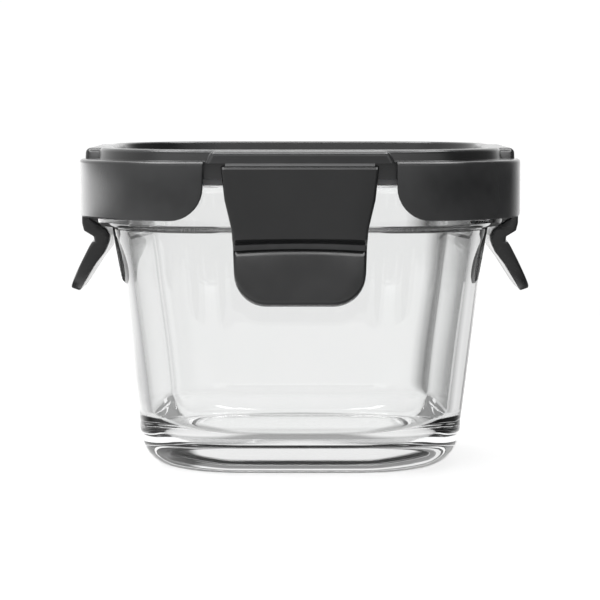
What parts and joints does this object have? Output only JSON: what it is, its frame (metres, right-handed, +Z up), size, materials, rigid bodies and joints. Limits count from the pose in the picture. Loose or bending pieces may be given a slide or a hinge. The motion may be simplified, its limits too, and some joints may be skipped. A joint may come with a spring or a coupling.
{
  "type": "glass storage container",
  "caption": "Square clear glass food container with thick base and rim collar, dark plastic lid with seal, and a snap latch hinged on each side.",
  "frame": {"origin": "centre of the flat foot face that the glass stands on", "axes": "+Z up through the lid; the front latch faces -Y and the sides run along X and Y"},
  "size_m": [0.1232, 0.1232, 0.0844],
  "materials": {
    "glass": "polished",
    "lid_plastic": "satin",
    "seal_silicone": "matte"
  },
  "bodies": {
    "glass": {"glass_container": "glass"},
    "lid": {"lid": "lid_plastic", "seal_ring": "seal_silicone", "hinge_web_front": "lid_plastic", "hinge_web_right": "lid_plastic", "hinge_web_back": "lid_plastic", "hinge_web_left": "lid_plastic"},
    "latch_front": {"latch_front": "lid_plastic", "catch_front": "lid_plastic"},
    "latch_right": {"latch_right": "lid_plastic", "catch_right": "lid_plastic"},
    "latch_back": {"latch_back": "lid_plastic", "catch_back": "lid_plastic"},
    "latch_left": {"latch_left": "lid_plastic", "catch_left": "lid_plastic"}
  },
  "joints": [
    {"name": "lid_lift", "type": "slide", "parent": "glass", "child": "lid", "axis": [0, 0, 1], "range_m": [0, 0.06], "deforming": ["catch_front", "catch_right", "catch_back", "catch_left"]},
    {"name": "latch_front_hinge", "type": "hinge", "parent": "lid", "child": "latch_front", "pos_m": [0, -0.057, 0.0808], "axis": [-1, 0, 0], "range_deg": [0, 130], "deforming": ["hinge_web_front"]},
    {"name": "latch_right_hinge", "type": "hinge", "parent": "lid", "child": "latch_right", "pos_m": [0.057, 0, 0.0808], "axis": [0, -1, 0], "range_deg": [0, 130], "deforming": ["hinge_web_right"]},
    {"name": "latch_back_hinge", "type": "hinge", "parent": "lid", "child": "latch_back", "pos_m": [0, 0.057, 0.0808], "axis": [1, 0, 0], "range_deg": [0, 130], "deforming": ["hinge_web_back"]},
    {"name": "latch_left_hinge", "type": "hinge", "parent": "lid", "child": "latch_left", "pos_m": [-0.057, 0, 0.0808], "axis": [0, 1, 0], "range_deg": [0, 130], "deforming": ["hinge_web_left"]}
  ]
}
